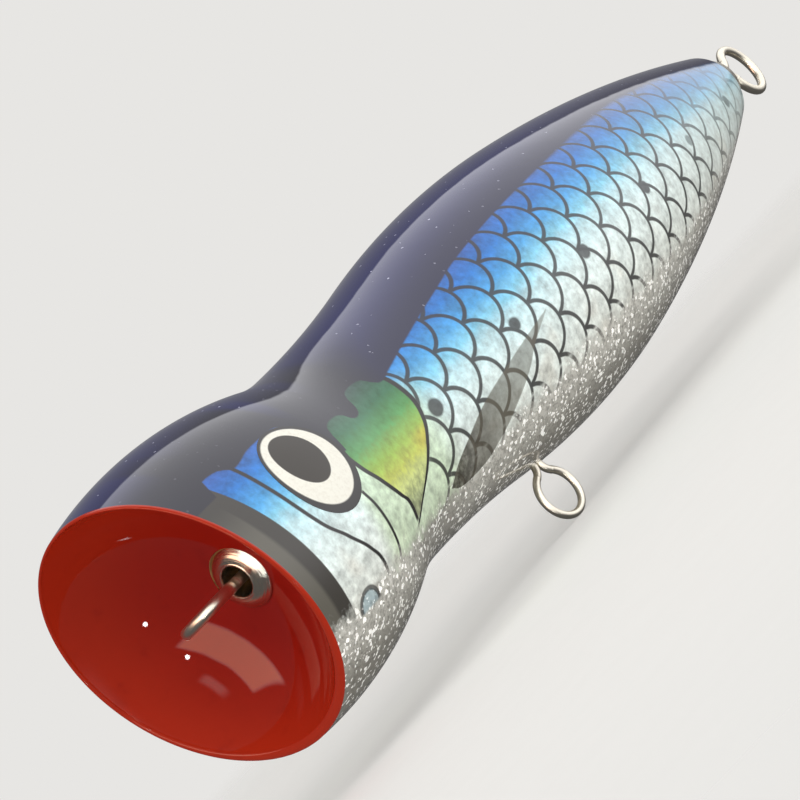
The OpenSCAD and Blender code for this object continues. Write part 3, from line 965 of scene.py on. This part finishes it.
def build_floor(height):
    """A plain pale disc that melts into the background."""
    turn = np.linspace(0, 2 * math.pi, FLOOR_SIDES, endpoint=False)
    points = [(0, LURE_MIDDLE.y, height)]
    for ring in np.linspace(0, FLOOR_R, FLOOR_RINGS)[1:]:
        points += [(ring * math.cos(a), LURE_MIDDLE.y + ring * math.sin(a), height) for a in turn]
    faces = []
    for j in range(FLOOR_SIDES):
        k = (j + 1) % FLOOR_SIDES
        faces.append([0, 1 + j, 1 + k])
        for first in range(1, len(points) - FLOOR_SIDES, FLOOR_SIDES):
            after = first + FLOOR_SIDES
            faces.append([first + j, after + j, after + k, first + k])
    mesh = bpy.data.meshes.new("floor")
    mesh.from_pydata(points, [], faces)
    mesh.materials.append(floor_material())
    floor = bpy.data.objects.new("floor", mesh)
    bpy.context.scene.collection.objects.link(floor)
    floor.visible_glossy = False
    floor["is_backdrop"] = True


def build_world():
    """Surroundings: plain to the camera, a room to the coat and soft light to matt surfaces."""
    world = bpy.data.worlds.new("studio")
    bpy.context.scene.world = world
    world.use_nodes = True
    tree = world.node_tree
    tree.nodes.clear()
    way = tree.nodes.new("ShaderNodeTexCoord").outputs["Generated"]

    def facing(direction):
        """Cosine of the angle between where a ray goes and a direction."""
        node = tree.nodes.new("ShaderNodeVectorMath")
        node.operation = "DOT_PRODUCT"
        tree.links.new(way, node.inputs[0])
        node.inputs[1].default_value = Vector(direction).normalized()
        return Num(tree, node.outputs["Value"])

    def background(colour, strength):
        node = tree.nodes.new("ShaderNodeBackground")
        plug(tree, node.inputs[0], colour)
        plug(tree, node.inputs[1], strength)
        return node.outputs[0]

    def choose(share, no, yes):
        node = tree.nodes.new("ShaderNodeMixShader")
        for slot, value in zip(node.inputs, (share, no, yes)):
            tree.links.new(value, slot)
        return node.outputs[0]

    across, forward, up = facing((1, 0, 0)), facing((0, 1, 0)), facing((0, 0, 1))
    # The bright side of the room ends sharply above the lure and fades out below it
    above = up.step(-0.14, 0.04)
    edge = facing(ROOM_EDGE)
    room = edge.step(-0.02, 0.02) * above + edge.step(-0.1, 0.5) * (1 - above)
    room = room * forward.step(-0.25, 0.25) * up.step(-0.8, -0.1) * ROOM_SHINE
    dim_side = across.step(0.1, -0.4) * above * forward.step(0.2, 0.6)
    # The window is cut off along slanting lines, with a streak of light beside it
    slant = across + up * 0.57
    pane = slant.step(-0.05, 0.02) * slant.step(0.43, 0.38) * up.step(-0.13, -0.05) * up.step(0.78, 0.73)
    streak = slant.step(0.58, 0.64) * slant.step(0.74, 0.68) * up.step(0.3, 0.4) * up.step(0.68, 0.56)
    window = largest(pane, streak * 0.4) * forward.step(-0.4, -0.5)
    mirrored = room + dim_side * DIM_SHINE + REST_SHINE
    for lamp in LAMPS:
        mirrored = mirrored + facing(lamp).step(0.9994, 0.9998) * LAMP_SHINE
    tint = mix(tree, ROOM_COLOUR, WINDOW_COLOUR, window)
    glossy = background(tint, mirrored + window * WINDOW_SHINE)
    soft = facing(SOFT_FROM).step(-1.1, 1.1) * SOFT_GAIN + SOFT_LEAST
    path = tree.nodes.new("ShaderNodeLightPath").outputs
    unseen = choose(path["Is Glossy Ray"], background(SOFT_COLOUR, soft), glossy)
    output = tree.nodes.new("ShaderNodeOutputWorld")
    tree.links.new(choose(path["Is Camera Ray"], unseen, background(BACKDROP, 1.0)), output.inputs[0])


def soft_light(name, direction, size, power, only=()):
    """A large soft light that faces the lure from a direction. One that lights only some pieces is
    mirrored in them too."""
    light = bpy.data.lights.new(name, "AREA")
    light.shape = "DISK"
    light.size = size
    light.energy = power
    lamp = bpy.data.objects.new(name, light)
    bpy.context.scene.collection.objects.link(lamp)
    way = Vector(direction).normalized()
    lamp.location = LURE_MIDDLE + way * LIGHT_DISTANCE
    lamp.rotation_mode = "QUATERNION"
    lamp.rotation_quaternion = (-way).to_track_quat("-Z", "Y")
    lamp.visible_glossy = bool(only)
    lamp.visible_camera = False
    if only:
        group = bpy.data.collections.new(name)
        for obj in only:
            group.objects.link(obj)
        lamp.light_linking.receiver_collection = group


# The photograph's view: degrees round the lure and above it, and the camera's tilt about its own axis. The
# distance and the point aimed at are in mm
VIEW_AROUND = 43.33
VIEW_ABOVE = -0.79
VIEW_TILT = 46.64
VIEW_DISTANCE = 380
VIEW_AIM = (-9.7, 60.1, 1.4)
VIEW_LENS = 123.5
SENSOR = 36


def build_camera():
    data = bpy.data.cameras.new("camera")
    data.lens = VIEW_LENS
    data.sensor_width = SENSOR
    data.clip_start = 0.01
    data.clip_end = 10
    camera = bpy.data.objects.new("camera", data)
    bpy.context.scene.collection.objects.link(camera)
    around, above = math.radians(VIEW_AROUND), math.radians(VIEW_ABOVE)
    back = Vector((math.sin(around), -math.cos(around), 0)) * math.cos(above)
    back.z = math.sin(above)
    level = Vector((0, 0, 1)).cross(back).normalized()
    upright = back.cross(level)
    tilt = math.radians(VIEW_TILT)
    right = level * math.cos(tilt) - upright * math.sin(tilt)
    up = upright * math.cos(tilt) + level * math.sin(tilt)
    place = (Vector(VIEW_AIM) + back * VIEW_DISTANCE) * MM
    camera.matrix_world = Matrix.Translation(place) @ Matrix((right, up, back)).transposed().to_4x4()
    bpy.context.scene.camera = camera


# ---- The lure and its studio ----

build_skin(skin_material())
build_mouth(mouth_material())
eye_paint = eye_material()
for side in ("left", "right"):
    build_eye(side, eye_paint)
drawn_steel = steel_material("drawn_wire", 0.34)
turned_steel = steel_material("turned_steel", 0.24, turned=True)
build_nose_cone(turned_steel)
wood = wood_material()
dress_cad({
    "body_left_half": wood,
    "body_right_half": wood,
    "ballast_plug": wood,
    "ballast_weight": lead_material(),
    "through_wire": drawn_steel,
    "belly_hanger": drawn_steel,
    "tail_ferrule": turned_steel,
})
build_floor(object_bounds()[0].z)
build_world()
soft_light("key", (0.73, -0.14, 0.45), size=0.7, power=3.9)
soft_light("fill", (-0.1, -0.85, 0.5), size=0.5, power=1.3)
meshes = [obj for obj in bpy.data.objects if obj.type == "MESH"]
steel_pieces = [obj for obj in meshes if obj.data.materials[0] in (drawn_steel, turned_steel)]
soft_light("steel_light", (0.75, -0.55, 0.25), size=1.6, power=11, only=steel_pieces)
build_camera()
bpy.context.scene.view_settings.view_transform = "Standard"
